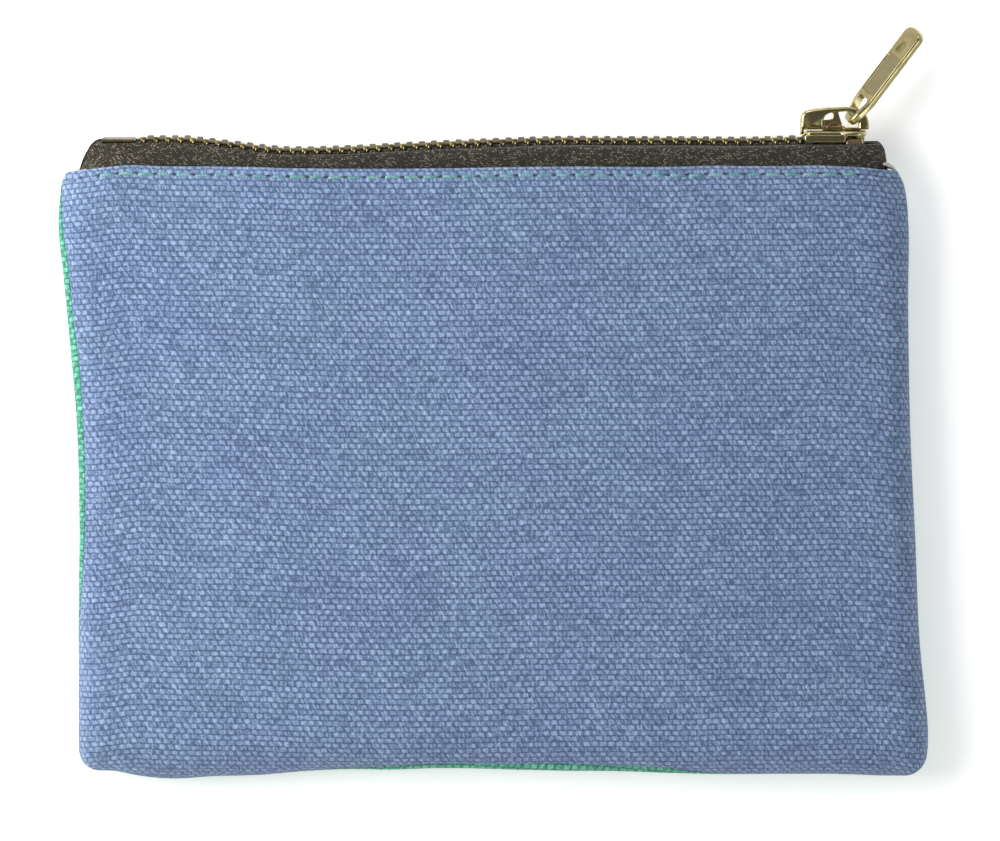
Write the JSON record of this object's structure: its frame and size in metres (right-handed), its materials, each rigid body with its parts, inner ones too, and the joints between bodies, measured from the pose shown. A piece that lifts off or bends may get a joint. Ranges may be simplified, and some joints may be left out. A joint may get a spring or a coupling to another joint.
{
  "type": "zippered pouch",
  "caption": "Flat rectangular canvas pouch, blue in front and green behind, lined, and closed along its top edge by a metal zipper with a pull tab.",
  "frame": {"origin": "middle of the back panel's outer face, which the pouch lies on", "axes": "+X along the zipper towards its closed end, +Y from the bottom seam to the zipper, +Z from the back panel up through the front panel"},
  "size_m": [0.1457, 0.1245, 0.012],
  "materials": {
    "blue_canvas": "washed cotton duck, plain weave, matte",
    "green_canvas": "cotton duck, plain weave, matte",
    "lining_cotton": "unbleached plain cotton",
    "zipper_tape": "olive-brown twill tape",
    "teal_thread": "spun sewing thread",
    "white_thread": "spun sewing thread",
    "tooth_brass": "bright brass with dulled recesses",
    "pale_gold": "polished light gold plating",
    "spring_brass": "plain spring brass"
  },
  "bodies": {
    "pouch": {"front_panel": "blue_canvas", "back_panel": "green_canvas", "front_lining": "lining_cotton", "back_lining": "lining_cotton", "front_tape": "zipper_tape", "back_tape": "zipper_tape", "front_topstitch": "teal_thread", "back_topstitch": "teal_thread", "perimeter_seam_thread": "white_thread", "lining_seam_thread": "white_thread", "front_teeth": "tooth_brass", "back_teeth": "tooth_brass", "bottom_stop": "tooth_brass", "front_top_stop": "tooth_brass", "back_top_stop": "tooth_brass"},
    "slider": {"slider_body": "pale_gold", "slider_cap": "pale_gold", "lock_spring": "spring_brass"},
    "pull": {"pull_tab": "pale_gold"}
  },
  "joints": [
    {"name": "slider_travel", "type": "slide", "parent": "pouch", "child": "slider", "axis": [-1, 0, 0], "range_m": [0, 0.1125], "deforming": ["front_teeth", "back_teeth"]},
    {"name": "pull_swing", "type": "hinge", "parent": "slider", "child": "pull", "pos_m": [0.0604, 0.05871, 0.00654], "axis": [0, -0.1392, 0.9903], "range_deg": [-48, 78]}
  ]
}
